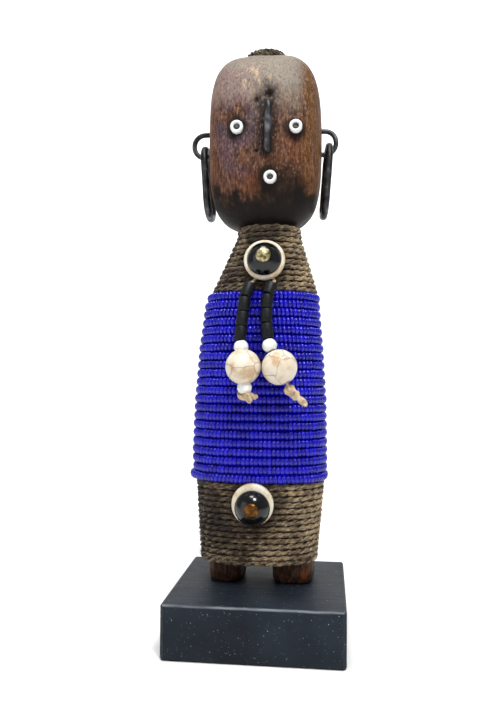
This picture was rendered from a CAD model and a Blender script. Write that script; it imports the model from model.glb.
# %% [markdown]
# # A bead-wrapped fertility doll on a block
# The real thing is a carved wooden figure bound with jute twine and ringed with blue glass seed beads. It
# wears iron wire in its face and ears, two bone-and-horn buttons, and two short bead strands on waxed cord.
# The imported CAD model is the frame: it fixes every size and place. Here each piece gets the surface
# that the eye expects, and it rides on the CAD body that it belongs to.

# %% Load the frame
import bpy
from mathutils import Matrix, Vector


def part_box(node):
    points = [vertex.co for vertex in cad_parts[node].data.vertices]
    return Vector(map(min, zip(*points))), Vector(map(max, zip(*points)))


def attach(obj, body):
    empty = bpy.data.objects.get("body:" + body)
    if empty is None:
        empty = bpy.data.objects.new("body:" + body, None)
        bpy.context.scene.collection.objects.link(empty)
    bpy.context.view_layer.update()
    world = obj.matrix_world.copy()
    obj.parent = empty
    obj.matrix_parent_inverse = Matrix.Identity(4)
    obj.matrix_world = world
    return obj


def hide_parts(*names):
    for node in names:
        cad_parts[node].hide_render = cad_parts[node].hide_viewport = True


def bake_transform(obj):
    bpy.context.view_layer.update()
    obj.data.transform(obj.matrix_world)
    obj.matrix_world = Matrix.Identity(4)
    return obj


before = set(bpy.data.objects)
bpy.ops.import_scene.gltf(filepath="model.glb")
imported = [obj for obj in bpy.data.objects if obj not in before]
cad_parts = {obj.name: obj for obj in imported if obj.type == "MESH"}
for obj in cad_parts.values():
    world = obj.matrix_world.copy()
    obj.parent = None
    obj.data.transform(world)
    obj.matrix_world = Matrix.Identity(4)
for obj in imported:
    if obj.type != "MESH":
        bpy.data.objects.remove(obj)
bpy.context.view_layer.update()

import math
import bmesh
import bpy
from mathutils import Matrix, Vector, noise

MM = 0.001

# %% [markdown]
# ## The camera
# The camera stands a quarter of a metre in front, a little to the right and below half the doll's height.
# It is turned slightly to the left and looks almost level. From there the block's top still shows.
# Its three axes are worked out from yaw, pitch and roll, because a matrix leaves no doubt about their order.

# %% Set the camera
YAW, PITCH, ROLL = (math.radians(angle) for angle in (-6.50, 1.14, 0.40))
STAND, SENSOR, LENS = (0.0239, -0.2497, 0.0923), 36.0, 34.44
forward = Vector((math.sin(YAW) * math.cos(PITCH), math.cos(YAW) * math.cos(PITCH), math.sin(PITCH)))
level_right = Vector((math.cos(YAW), -math.sin(YAW), 0.0))
level_up = level_right.cross(forward)
right = level_right * math.cos(ROLL) + level_up * math.sin(ROLL)
up = -level_right * math.sin(ROLL) + level_up * math.cos(ROLL)
turn = Matrix((right, up, -forward)).transposed().to_4x4()
camera = bpy.data.objects.new("camera", bpy.data.cameras.new("camera"))
camera.data.sensor_width = SENSOR
camera.data.lens = LENS
camera.data.clip_start = 0.01
camera.matrix_world = Matrix.Translation(STAND) @ turn
bpy.context.scene.collection.objects.link(camera)
bpy.context.scene.camera = camera
print("camera at", [round(x, 4) for x in camera.location])

# %% [markdown]
# ## Helpers for meshes
# Three small tools make nearly everything here: a sweep carries a round section along a path, a lathe turns a
# profile about an axis, and a loft joins stacked outlines. Each closes its own ends, so that every piece is
# a solid with its faces outwards.

# %% Mesh helpers
def mesh_object(name, points, faces, smooth=True):
    """A mesh object at the origin, its doubles merged and its faces turned outwards."""
    mesh = bpy.data.meshes.new(name)
    mesh.from_pydata([tuple(p) for p in points], [], faces)
    work = bmesh.new()
    work.from_mesh(mesh)
    bmesh.ops.remove_doubles(work, verts=work.verts, dist=1e-7)
    bmesh.ops.recalc_face_normals(work, faces=work.faces)
    work.to_mesh(mesh)
    work.free()
    for polygon in mesh.polygons:
        polygon.use_smooth = smooth
    made = bpy.data.objects.new(name, mesh)
    bpy.context.scene.collection.objects.link(made)
    return made


def sweep(path, radius, sides=16, closed=False, start_side=Vector((0.0, 0.0, 1.0))):
    """Points and faces of a round bar along a path. radius is a number or a function of the share gone."""
    count = len(path)
    points, faces, side = [], [], start_side
    for i, here in enumerate(path):
        after = path[(i + 1) % count] if closed else path[min(i + 1, count - 1)]
        before = path[i - 1] if closed or i else path[0]
        ahead = (after - before).normalized()
        side = side - ahead * side.dot(ahead)
        side = side.normalized() if side.length > 1e-6 else ahead.orthogonal().normalized()
        other = ahead.cross(side)
        r = radius(i / count) if callable(radius) else radius
        for k in range(sides):
            a = math.tau * k / sides
            points.append(here + (side * math.cos(a) + other * math.sin(a)) * r)
    for i in range(count if closed else count - 1):
        for k in range(sides):
            j, m = (i + 1) % count, (k + 1) % sides
            faces.append((i * sides + k, i * sides + m, j * sides + m, j * sides + k))
    if not closed:
        faces.append(tuple(range(sides))[::-1])
        faces.append(tuple((count - 1) * sides + k for k in range(sides)))
    return points, faces


def lathe(profile, segments, place):
    """A closed profile of (radius, height) in millimetres, turned about +Z and then moved by place."""
    count = len(profile)
    points, faces = [], []
    for s in range(segments):
        a, t = math.tau * s / segments, (s + 1) % segments
        points += [place @ Vector((r * MM * math.cos(a), r * MM * math.sin(a), h * MM)) for r, h in profile]
        for i in range(count):
            j = (i + 1) % count
            faces.append((s * count + i, t * count + i, t * count + j, s * count + j))
    return points, faces


def arc(cx, cy, r, start, end, steps):
    """Points of an arc, with its angles in degrees."""
    angles = [math.radians(start + (end - start) * i / steps) for i in range(steps + 1)]
    return [(cx + r * math.cos(a), cy + r * math.sin(a)) for a in angles]


def smooth_path(knots, steps):
    """A smooth curve through a few chosen points, with some steps between each two."""
    ends = [knots[0] * 2 - knots[1]] + list(knots) + [knots[-1] * 2 - knots[-2]]
    path = []
    for a, b, c, d in zip(ends, ends[1:], ends[2:], ends[3:]):
        for i in range(steps):
            t = i / steps
            path.append(0.5 * (2 * b + (c - a) * t + (2 * a - 5 * b + 4 * c - d) * t * t
                               + (3 * b - a - 3 * c + d) * t ** 3))
    return path + [knots[-1].copy()]


def aim(at, direction):
    """The matrix that moves +Z to a direction at a point."""
    return Matrix.Translation(at) @ direction.to_track_quat("Z", "Y").to_matrix().to_4x4()


def merged(parts):
    """Points and faces of several shapes as one."""
    points, faces = [], []
    for part_points, part_faces in parts:
        start = len(points)
        points += part_points
        faces += [tuple(start + i for i in face) for face in part_faces]
    return points, faces


print("mesh helpers ready")

# %% [markdown]
# ## Helpers for finishes
# Each finish is a small tree of nodes that ends in one Principled shader. Colours are written as they are
# picked from a chart, in sRGB, and one function turns them to the linear values that light needs.
# A pattern's size is given in millimetres.

# %% Finish helpers
# the kinds of node that are used most, under short names
MATH, VECTOR, RANGE, MIX = "ShaderNodeMath", "ShaderNodeVectorMath", "ShaderNodeMapRange", "ShaderNodeMix"
NOISE, CELLS, RAMP, BUMP = ("ShaderNodeTexNoise", "ShaderNodeTexVoronoi", "ShaderNodeValToRGB",
                            "ShaderNodeBump")
SCALED, SPLIT, COMBINED = "ShaderNodeMapping", "ShaderNodeSeparateXYZ", "ShaderNodeCombineXYZ"
RANDOM, ALIGN = "FunctionNodeRandomValue", "FunctionNodeAlignRotationToVector"


def hue(code):
    """Linear RGBA of an sRGB hex colour."""
    parts = [int(code[i:i + 2], 16) / 255 for i in (1, 3, 5)]
    return tuple(c / 12.92 if c <= 0.04045 else ((c + 0.055) / 1.055) ** 2.4 for c in parts) + (1.0,)


def every(mm):
    """Texture scale at which a pattern repeats about every so many millimetres."""
    return 1000.0 / mm


def add(tree, kind, feeds=None, stops=None, **settings):
    """Adds a node. feeds maps an input to a value or to another node's output; stops are a ramp's."""
    node = tree.nodes.new(kind)
    for name, value in settings.items():
        setattr(node, name, value)
    for name, value in (feeds or {}).items():
        if isinstance(value, bpy.types.NodeSocket):
            tree.links.new(value, node.inputs[name])
        else:
            node.inputs[name].default_value = value
    if stops:
        ramp = node.color_ramp
        while len(ramp.elements) < len(stops):
            ramp.elements.new(1.0)
        for element, (at, colour) in zip(ramp.elements, stops):
            element.position, element.color = at, hue(colour)
    return node


def start_finish(name):
    """An empty material: its tree, and the socket that holds a point's place on the object."""
    material = bpy.data.materials.new(name)
    material.use_nodes = True
    material.node_tree.nodes.clear()
    return material, material.node_tree, add(material.node_tree, "ShaderNodeTexCoord").outputs["Object"]


def end_finish(tree, feeds):
    """The Principled shader, fed by sockets and numbers, and the material's output."""
    shader = add(tree, "ShaderNodeBsdfPrincipled", feeds)
    add(tree, "ShaderNodeOutputMaterial", {"Surface": shader.outputs[0]})


print("finish helpers ready")

# %% [markdown]
# ## Waxed cotton cord
# The strands hang on one-millimetre cotton cord, waxed so that it holds a knot. It is pale tan, with
# grey dirt where it has been handled and fine ribs where its plies turn.

# %% Make the waxed cord's finish
waxed_cotton, tree, place = start_finish("waxed_cotton_cord")
ribs = add(tree, "ShaderNodeTexWave", {"Vector": place, "Scale": every(0.7) / 6, "Distortion": 3.0},
           wave_type="BANDS", bands_direction="DIAGONAL").outputs["Fac"]
dirt = add(tree, NOISE, {"Vector": place, "Scale": every(1.6), "Detail": 4.0}).outputs["Fac"]
tone = add(tree, RAMP, {"Fac": dirt},
           stops=[(0.30, "#7d6a54"), (0.48, "#c6ac88"), (0.70, "#e2d0b0")]).outputs["Color"]
relief = add(tree, BUMP, {"Height": ribs, "Strength": 0.5, "Distance": 0.15 * MM}).outputs["Normal"]
end_finish(tree, {"Base Color": tone, "Roughness": 0.72, "Normal": relief, "Sheen Weight": 0.25})
print("made", waxed_cotton.name)

# %% [markdown]
# ## The two hanging cords
# Each cord leaves the twine under the upper button, bends over the first tube bead and hangs to its knot.
# It is one cord in reality, so one tube crosses the bend and turns smoothly between the two CAD bodies.
# The route's points are the same ones that the CAD model uses.

# %% Lay the cords
CORD_D = 1.0
ROUTES = {
    "left": [(-2.6, -8.3, 125.2), (-2.7, -9.2, 125), (-2.9, -10.6, 124.6),
             (-3.2, -12.1, 123.9), (-4.9, -14, 119), (-5.3, -15, 113.9), (-5.8, -16, 108.8),
             (-6.1, -17, 103.7), (-5.6, -17.6, 101.7), (-4.8, -18.4, 95), (-4.2, -18.8, 88),
             (-3.5, -18.8, 85.6)],
    "right": [(5, -8.3, 125.2), (4.9, -9.2, 125), (4.7, -10.6, 124.6),
              (4.4, -12.1, 123.9), (3, -14, 119.8), (2.7, -15, 114.8), (2.8, -16, 109.8),
              (3.5, -16.9, 104.5), (4.3, -17.5, 101.6), (7.5, -18.4, 94.9), (10.4, -18.6, 89),
              (12, -18.6, 86.4)]}
TOP, BEND, TUBES_FROM, SMALL, BIG, END = 1, 2, 3, 8, 9, 10
routes = {side: [Vector(p) * MM for p in points] for side, points in ROUTES.items()}
cords, cord_paths = {}, {}
for side, route in routes.items():
    path = smooth_path(route[TOP:], 4)
    cord_paths[side] = path
    cords[side] = mesh_object(f"{side}_waxed_cord", *sweep(path, CORD_D / 2 * MM, 10))
    cords[side].data.materials.append(waxed_cotton)

# %% [markdown]
# ## Sizes from the frame
# The wood's outline swells from the neck to the hips and draws in again at the hem. The bindings and the
# bead rows all follow that outline, so it is written once, as stations at heights taken from the CAD boxes.
# The section is a superellipse, which is rounder than a box and squarer than an oval.

# %% Describe the body's outline
TURNS = len([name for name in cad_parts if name.startswith("bead_row_")])
hem_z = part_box("leg_twine")[0].z / MM
hip_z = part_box("leg_twine")[1].z / MM
shoulder_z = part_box("bead_row_01")[1].z / MM
seed_d = (shoulder_z - hip_z) / TURNS
NECK_WRAP = 25.0
neck_z = shoulder_z + NECK_WRAP
block_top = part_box("plinth")[1].z / MM
BODY_Y, BODY_POWER = 6.0, 2.4
TWINE_D = 2.1
STATIONS = [
    (hem_z - 1.5, -1.4, 19.4, 13.7), (hem_z + 14, -1.2, 20.7, 14.6), (hip_z - 2, -1.0, 21.6, 15.3),
    (hip_z + 9, -1.3, 22.0, 15.5), (hip_z + 29, -1.1, 21.4, 15.2), (hip_z + 47, -1.0, 20.1, 14.5),
    (shoulder_z - seed_d, -0.6, 18.25, 13.5), (shoulder_z + 1.5, 0.4, 17.35, 12.9),
    (neck_z - 4.5, 1.8, 10.2, 8.9), (neck_z + 3, 1.8, 9.4, 8.5)]


def wood_at(z):
    """Middle x, half width and half depth of the wood at a height, all in millimetres."""
    for low, high in zip(STATIONS, STATIONS[1:]):
        if z <= high[0]:
            t = max(0.0, (z - low[0]) / (high[0] - low[0]))
            return [a + (b - a) * t for a, b in zip(low[1:], high[1:])]
    return list(STATIONS[-1][1:])


def bent_power(value, power):
    """A power that keeps its value's sign."""
    return math.copysign(abs(value) ** power, value)


def body_point(z, angle, grow):
    """The point of the body's outline at a height and an angle in radians, grown by some millimetres."""
    middle, wide, deep = wood_at(z)
    return Vector((middle + (wide + grow) * bent_power(math.cos(angle), 2 / BODY_POWER),
                   BODY_Y + (deep + grow) * bent_power(math.sin(angle), 2 / BODY_POWER), z)) * MM


print("hem, hip, shoulder, neck:", [round(z, 2) for z in (hem_z, hip_z, shoulder_z, neck_z)])

# %% [markdown]
# ## Helpers for Geometry Nodes
# What repeats here is made by node trees: twine plies, seed beads and loose fibres. Each tree is built in
# code with named inputs. The inputs are set by their identifiers before the tree first runs, and the
# result becomes a plain mesh, because an exporter can't read live instances.

# %% Geometry Nodes helpers
def start_tree(name, inputs):
    """A geometry tree with a Geometry input and more of the given names, kinds and defaults."""
    tree = bpy.data.node_groups.new(name, "GeometryNodeTree")
    tree.interface.new_socket(name="Geometry", in_out="INPUT", socket_type="NodeSocketGeometry")
    for label, kind, value in inputs:
        socket = tree.interface.new_socket(name=label, in_out="INPUT", socket_type=f"NodeSocket{kind}")
        if value is not None:
            socket.default_value = value
    tree.interface.new_socket(name="Geometry", in_out="OUTPUT", socket_type="NodeSocketGeometry")
    return tree, add(tree, "NodeGroupInput").outputs


def run_tree(guide, tree, values):
    """Runs a tree on a guide object and gives the result as a plain mesh object of the same name."""
    modifier = guide.modifiers.new("nodes", "NODES")
    modifier.node_group = tree
    for item in tree.interface.items_tree:
        if item.in_out == "INPUT" and item.name in values:
            modifier[item.identifier] = values[item.name]
    name = guide.name
    depsgraph = bpy.context.evaluated_depsgraph_get()
    mesh = bpy.data.meshes.new_from_object(guide.evaluated_get(depsgraph), preserve_all_data_layers=True,
                                           depsgraph=depsgraph)
    bpy.data.objects.remove(guide)
    made = bpy.data.objects.new(name, mesh)
    bpy.context.scene.collection.objects.link(made)
    print(name, "has", sum(len(p.vertices) - 2 for p in mesh.polygons), "triangles")
    return made


def guide_line(name, path, closed=False):
    """A chain of edges for a tree to follow."""
    mesh = bpy.data.meshes.new(name)
    edges = [(i, i + 1) for i in range(len(path) - 1)] + ([(len(path) - 1, 0)] if closed else [])
    mesh.from_pydata([tuple(p) for p in path], edges, [])
    made = bpy.data.objects.new(name, mesh)
    bpy.context.scene.collection.objects.link(made)
    return made


print("node tree helpers ready")

# %% [markdown]
# ## Carved wood, rubbed with fat and soot
# The figure is a dense brown hardwood, cut with a knife and darkened by handling. Its grain runs up and down.
# The forehead is worn grey, the cheeks are rubbed orange, a purple bloom lies round one eye, and the chin
# is black with soot. Dark glue has run out round the beads and the nose.

# %% Make the wood's finish
carved_hardwood, tree, place = start_finish("oiled_carved_hardwood")
# name: how far the pattern is drawn out along the grain, its size in mm, its detail
patterns = {"grain": (0.24, 0.8, 8.0), "pores": (0.50, 0.6, 4.0), "blotch": (0.8, 8, 6.0),
            "streaks": (0.22, 2.4, 5.0)}
seen = {}
for name, (drawn, size, detail) in patterns.items():
    at = add(tree, SCALED, {"Vector": place, "Scale": (1.0, 1.0, drawn)}).outputs[0]
    seen[name] = add(tree, NOISE, {"Vector": at, "Scale": every(size), "Detail": detail}).outputs["Fac"]
wood = add(tree, RAMP, {"Fac": seen["grain"]},
           stops=[(0.32, "#2a1a14"), (0.45, "#523629"), (0.55, "#664433"),
                  (0.68, "#8c634a")]).outputs["Color"]
axes = add(tree, SPLIT, {"Vector": place}).outputs
# heights and distances are shifted by the blotches, so that no zone has a ruled edge
wander = add(tree, MATH, {0: seen["blotch"], 1: 0.5}, operation="SUBTRACT").outputs[0]
rough_z = add(tree, MATH, {0: wander, 1: 0.026, 2: axes["Z"]}, operation="MULTIPLY_ADD").outputs[0]
NOSE_SHADE_X = 1.4
nose_x = add(tree, MATH, {0: axes["X"], 1: NOSE_SHADE_X * MM}, operation="SUBTRACT").outputs[0]
nose_x = add(tree, MATH, {0: nose_x}, operation="ABSOLUTE").outputs[0]
nose_x = add(tree, MATH, {0: wander, 1: 0.006, 2: nose_x}, operation="MULTIPLY_ADD").outputs[0]
FACE_SPOTS = [(-8.7, 179.62), (12.1, 179.22), (3.2, 161.62)]
near = {}
centres = {"bloom": (-9.5, -9, 181), "cheek": (-10, -9, 169), "foot": (17.5, -4, 21), "warm": (9, -9, 169),
           "ember": (-3, -9, 160), "brow": (-3, -7, 199), "soot": (7, -9, 157)}
# small chips: middle x and height, half width and half height
CHIPS = [(2.2, 191.8, 1.1, 1.3), (11.5, 184.2, 0.8, 0.8), (-1.6, 171.2, 0.8, 0.4), (-2.0, 189.6, 0.4, 1.5)]
centres.update({f"chip_{i}": (x, -8.4, z) for i, (x, z, wide, tall) in enumerate(CHIPS)})
centres.update({f"spot_{i}": (x, -9.4, z) for i, (x, z) in enumerate(FACE_SPOTS)})
for name, centre in centres.items():
    far = add(tree, VECTOR, {0: place, 1: tuple(c * MM for c in centre)}, operation="DISTANCE")
    near[name] = add(tree, MATH, {0: wander, 1: 0.006, 2: far.outputs["Value"]},
                     operation="MULTIPLY_ADD").outputs[0]
# each layer: its colour, how strong it is, and the smooth steps that it is the product of, whose limits
# are in metres for heights and distances
layers = [
    ("#94664a", 0.60, [(axes["X"], -0.0150, -0.0185), (seen["streaks"], 0.30, 0.66)]),
    ("#74501f", 0.60, [(axes["X"], 0.0120, 0.0165), (seen["streaks"], 0.30, 0.66)]),
    ("#6b3e22", 0.60, [(near["warm"], 0.013, 0.004), (seen["streaks"], 0.30, 0.66)]),
    ("#6e3a1e", 0.65, [(near["ember"], 0.007, 0.002), (seen["streaks"], 0.34, 0.56)]),
    ("#4b3e49", 0.80, [(near["bloom"], 0.014, 0.005), (seen["blotch"], 0.34, 0.54)]),
    ("#5a444e", 0.60, [(near["cheek"], 0.012, 0.004), (seen["blotch"], 0.42, 0.60)]),
    ("#948480", 0.58, [(rough_z, 0.185, 0.198), (axes["X"], 0.002, -0.006)]),
    ("#8a8276", 0.82, [(rough_z, 0.182, 0.199), (axes["X"], -0.008, 0.003), (axes["X"], 0.0165, 0.0110)]),
    ("#857e72", 0.75, [(rough_z, 0.201, 0.208)]),
    ("#cbb091", 0.65, [(near["brow"], 0.011, 0.003), (seen["streaks"], 0.48, 0.62)]),
    ("#0b0806", 0.97, [(rough_z, 0.1590, 0.1545), (axes["Z"], 0.05, 0.10)]),
    ("#120d0a", 0.80, [(near["soot"], 0.014, 0.006)]),
    ("#1f150f", 0.62, [(axes["Z"], 0.030, 0.027)]),
    ("#8a3f1e", 1.00, [(near["foot"], 0.0040, 0.001), (seen["streaks"], 0.42, 0.58)]),
    ("#100d10", 0.84, [(nose_x, 0.0060, 0.0015), (rough_z, 0.166, 0.173), (rough_z, 0.199, 0.190),
                       (axes["Y"], 0.0, -0.004)]),
    ("#140c09", 0.55, [(seen["pores"], 0.46, 0.34)]),
    ("#b79b80", 0.28, [(seen["pores"], 0.54, 0.68), (rough_z, 0.158, 0.168)])]
layers += [("#150e0b", 0.85, [(near[f"chip_{i}"], 0.0015, 0.0006)]) for i in range(len(CHIPS))]
layers += [("#17110f", 0.88, [(near[f"spot_{i}"], 0.0052, 0.0028)]) for i in range(len(FACE_SPOTS))]
for colour, strength, steps in layers:
    share = strength
    for value, start, stop in steps:
        step = add(tree, RANGE, {"Value": value, "From Min": start, "From Max": stop},
                   interpolation_type="SMOOTHSTEP")
        share = add(tree, MATH, {0: share, 1: step.outputs[0]}, operation="MULTIPLY").outputs[0]
    wood = add(tree, MIX, {0: share, 6: wood, 7: hue(colour)}, data_type="RGBA").outputs[2]
height = add(tree, MATH, {0: seen["pores"], 1: 0.7, 2: seen["grain"]}, operation="MULTIPLY_ADD").outputs[0]
relief = add(tree, BUMP, {"Height": height, "Strength": 0.55, "Distance": 0.22 * MM}).outputs["Normal"]
shine = add(tree, RANGE, {"Value": seen["pores"], "To Min": 0.40, "To Max": 0.66}).outputs[0]
end_finish(tree, {"Base Color": wood, "Roughness": shine, "Normal": relief, "Specular IOR Level": 0.16})
print("made", carved_hardwood.name, "with", len(tree.nodes), "nodes")

# %% [markdown]
# ## The carved figure
# The figure is one piece of wood: feet, body, neck and head. Lofts make its main masses, and a voxel remesh
# turns them into one closed skin.

# %% Shape the head
HEAD_Y, HEAD_W = 9.0, 41.7
FACE_DEPTH, BACK_DEPTH = 18.585, 12.915
CROWN_POWER, BROW_POWER, JAW_POWER = 3.5, 2.2, 3.5
CROWN_LEAN = -0.6
crown_z = neck_z + 65.3
jaw_z, middle_z = neck_z - 1.2, neck_z + 31.3


def head_share(z, power):
    """Share of the head's full width or depth at a height, for a crown of some roundness."""
    if z > middle_z:
        return (1 - ((z - middle_z) / (crown_z - middle_z)) ** power) ** (1 / power)
    return (1 - ((middle_z - z) / (middle_z - jaw_z)) ** JAW_POWER) ** (1 / JAW_POWER)


def head_point(z, angle):
    """A point of the head's outline, flatter at the face than at the back."""
    front = math.sin(angle) < 0
    power, depth = (3.0, FACE_DEPTH) if front else (2.3, BACK_DEPTH)
    wide, deep = head_share(z, CROWN_POWER) * HEAD_W / 2, head_share(z, BROW_POWER) * depth
    lean = CROWN_LEAN * max(0.0, (z - middle_z) / (crown_z - middle_z)) ** 2
    return Vector((lean + wide * bent_power(math.cos(angle), 2 / power),
                   HEAD_Y + deep * bent_power(math.sin(angle), 2 / power), z)) * MM


def stacked(rings):
    """Points and faces of a closed skin over rings of equal count."""
    around = len(rings[0])
    points = [p for ring in rings for p in ring]
    faces = [(j * around + k, j * around + (k + 1) % around, (j + 1) * around + (k + 1) % around,
              (j + 1) * around + k) for j in range(len(rings) - 1) for k in range(around)]
    faces.append(tuple(range(around))[::-1])
    faces.append(tuple(len(points) - around + k for k in range(around)))
    return points, faces


AROUND = 96
turned = [math.tau * k / AROUND for k in range(AROUND)]
low_head, high_head = jaw_z + 0.35, crown_z - 0.05
head_levels = [(low_head + high_head) / 2 - (high_head - low_head) / 2 * math.cos(math.pi * i / 60)
               for i in range(61)]
head_part = stacked([[head_point(z, a) for a in turned] for z in head_levels])
print("head from", round(jaw_z, 1), "to", round(crown_z, 1), "mm")

# %% Join head, body and feet
VOXEL = 0.62
BODY_FOOT = hem_z + 0.9
body_levels = [BODY_FOOT + (STATIONS[-1][0] - BODY_FOOT) * i / 70 for i in range(71)]
body_part = stacked([[body_point(z, a, -0.25) for a in turned] for z in body_levels])


def foot_part(low_x, high_x):
    """One short stump, a little narrower where it meets the block."""
    middle, half = (low_x + high_x) / 2, (high_x - low_x) / 2
    rings = []
    for z, pinch in ((block_top, 0.7), (block_top + 3, 0.35), (hem_z + 3, 0.0)):
        wide, deep = half - pinch, 11.5 - pinch * 2.8
        rings.append([Vector((middle + wide * bent_power(math.cos(a), 2 / 3),
                              BODY_Y + deep * bent_power(math.sin(a), 2 / 3), z)) * MM for a in turned])
    return stacked(rings)


figure = mesh_object("carved_wood_figure", *merged([head_part, body_part, foot_part(-19.5, -6.05),
                                                    foot_part(3.45, 19.3)]))
remesh = figure.modifiers.new("one_skin", "REMESH")
remesh.mode = "VOXEL"
remesh.voxel_size = VOXEL * MM
skin = bpy.data.meshes.new_from_object(figure.evaluated_get(bpy.context.evaluated_depsgraph_get()))
figure.modifiers.clear()
figure.data = skin
print("one skin with", len(skin.vertices), "points")

# %% [markdown]
# ## The knife's marks
# The skin's points are moved as a knife and wear would leave them: long shallow facets, sockets for the
# beads, small chips, a split over the nose, ragged edges on the feet and a flat seat for the bun.

# %% Cut the skin
SOCKET_R, SOCKET_Y = 2.5 * MM, -8.72 * MM
CHIP_DEEP, SPLIT_X, SPLIT_LOW, SPLIT_HIGH, SPLIT_R = 1.3, 2.0, 193, 204, 0.7
RAG_HIGH = 2.5
hair_low, hair_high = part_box("top_knot")
HAIR_Y, HAIR_R = (hair_low.y + hair_high.y) / 2 / MM, (hair_high.x - hair_low.x) / 2 / MM
HAIR_Z = hair_low.z / MM
work = bmesh.new()
work.from_mesh(skin)
for smoothing in range(2):
    bmesh.ops.smooth_vert(work, verts=work.verts, factor=0.5, use_axis_x=True, use_axis_y=True,
                          use_axis_z=True)
work.normal_update()
for v in work.verts:
    p, n = v.co.copy(), v.normal.copy()
    if p.z > jaw_z * MM or p.z < hem_z * MM:
        knife = noise.noise(Vector((p.x / 7, p.y / 7, p.z / 24)) / MM)
        fine = noise.noise(Vector((p.x / 1.4, p.y / 1.4, p.z / 7)) / MM)
        v.co += n * (knife * 0.22 + fine * 0.05) * MM
    if p.z < hem_z * MM:
        v.co += n * noise.noise(Vector((p.x / 2.2, p.y / 2.2, p.z / 5)) / MM) * 0.45 * MM
    if p.y < 0 and p.z > jaw_z * MM:
        for x, z in FACE_SPOTS:
            if math.hypot(p.x - x * MM, p.z - z * MM) < SOCKET_R:
                v.co.y = max(v.co.y, SOCKET_Y)
        for x, z, wide, tall in CHIPS:
            reach = math.hypot((p.x / MM - x) / wide, (p.z / MM - z) / tall)
            if reach < 1.3:
                v.co.y += CHIP_DEEP * MM * max(0.0, 1.3 - reach) ** 0.6
        split = abs(p.x / MM - SPLIT_X - 0.5 * math.sin(p.z / MM * 0.9))
        if SPLIT_LOW < p.z / MM < SPLIT_HIGH and split < SPLIT_R:
            v.co.y += (0.45 * MM * (1 - split / SPLIT_R) * (SPLIT_HIGH - p.z / MM)
                       / (SPLIT_HIGH - SPLIT_LOW))
    if p.z < (block_top + RAG_HIGH) * MM:
        rag = noise.noise(Vector((p.x, p.y, 0.0)) / (1.6 * MM))
        v.co.z += max(0.0, rag) * 0.5 * MM * (1 - (p.z / MM - block_top) / RAG_HIGH)
    v.co.z = max(v.co.z, block_top * MM)
    if math.hypot(p.x, p.y - HAIR_Y * MM) < HAIR_R * MM and p.z > HAIR_Z * MM:
        v.co.z = HAIR_Z * MM
work.to_mesh(skin)
work.free()
for polygon in skin.polygons:
    polygon.use_smooth = True
skin.materials.clear()
skin.materials.append(carved_hardwood)
print("figure has", sum(len(p.vertices) - 2 for p in skin.polygons), "triangles")

# %% [markdown]
# ## Jute twine
# Twine is laid from two plies, each a bundle of jute fibres. It is brown-grey where it is dirty, on the left
# most of all, golden where it is clean, and black-brown where glue has soaked in. The fibres run along
# each ply, so the pattern reads an attribute that the ply's mesh carries.

# %% Make the twine's finishes
def fibre_finish(name, tones, glue, glue_at):
    """Laid plant fibre: its tones from dark to light, and glue soaked in near some points."""
    material, tree, place = start_finish(name)
    lay = add(tree, "ShaderNodeAttribute", attribute_name="lay").outputs["Vector"]
    drawn = add(tree, SCALED, {"Vector": lay, "Scale": (0.30, 2.2, 3.0)}).outputs[0]
    fibres = add(tree, NOISE, {"Vector": drawn, "Scale": 1.7, "Detail": 8.0,
                               "Roughness": 0.75}).outputs["Fac"]
    fibres = add(tree, RANGE, {"Value": fibres, "From Min": 0.30, "From Max": 0.70, "To Min": 0.16,
                               "To Max": 0.84}).outputs[0]
    patch = add(tree, NOISE, {"Vector": place, "Scale": every(9), "Detail": 3.0}).outputs["Fac"]
    tone = add(tree, MATH, {0: patch, 1: 0.55, 2: fibres}, operation="MULTIPLY_ADD").outputs[0]
    across = add(tree, SPLIT, {"Vector": place}).outputs["X"]
    tone = add(tree, MATH, {0: across, 1: 4.5, 2: tone}, operation="MULTIPLY_ADD").outputs[0]
    tone = add(tree, MATH, {0: tone, 1: 0.27}, operation="SUBTRACT").outputs[0]
    colour = add(tree, RAMP, {"Fac": tone}, stops=tones).outputs["Color"]
    for centre, reach in glue_at:
        far = add(tree, VECTOR, {0: place, 1: tuple(c * MM for c in centre)},
                  operation="DISTANCE").outputs["Value"]
        # the patches take about 15 mm off each distance, some places more, so the limits are 15 mm less too
        ragged = add(tree, MATH, {0: patch, 1: -0.03, 2: far}, operation="MULTIPLY_ADD").outputs[0]
        soaked = add(tree, RANGE, {"Value": ragged, "From Min": (reach - 15) * MM,
                                   "From Max": (reach - 20) * MM, "To Max": 0.72},
                     interpolation_type="SMOOTHSTEP").outputs[0]
        colour = add(tree, MIX, {0: soaked, 6: colour, 7: hue(glue)}, data_type="RGBA").outputs[2]
    relief = add(tree, BUMP, {"Height": fibres, "Strength": 0.7, "Distance": 0.12 * MM}).outputs["Normal"]
    end_finish(tree, {"Base Color": colour, "Roughness": 0.86, "Normal": relief, "Sheen Weight": 0.15,
                      "Specular IOR Level": 0.12})
    print("made", name)
    return material


jute = fibre_finish(
    "laid_jute_twine", [(0.28, "#17110e"), (0.44, "#463a2e"), (0.58, "#84715a"), (0.76, "#c9b48c")],
    "#17110e",
    [((-1.9, -12, 46), 12), ((1.3, -8, 130), 11), ((-14, -8, 40), 9), ((2, -8, 145), 9)])
crown_fibre = fibre_finish(
    "sooty_crown_fibre", [(0.34, "#100d09"), (0.50, "#342c20"), (0.62, "#6e634c"), (0.74, "#d8ceb2")],
    "#17130d", [((-6, 10, 210), 6)])

# %% [markdown]
# ## A tree that lays twine
# A guide line says where the twine's middle runs. The tree walks along it in even steps, pushes each ply off
# to one side by an angle that turns with the distance gone, and sweeps a small circle along it. A
# scatter of short hairs then stands up from the plies, as on real jute.

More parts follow.
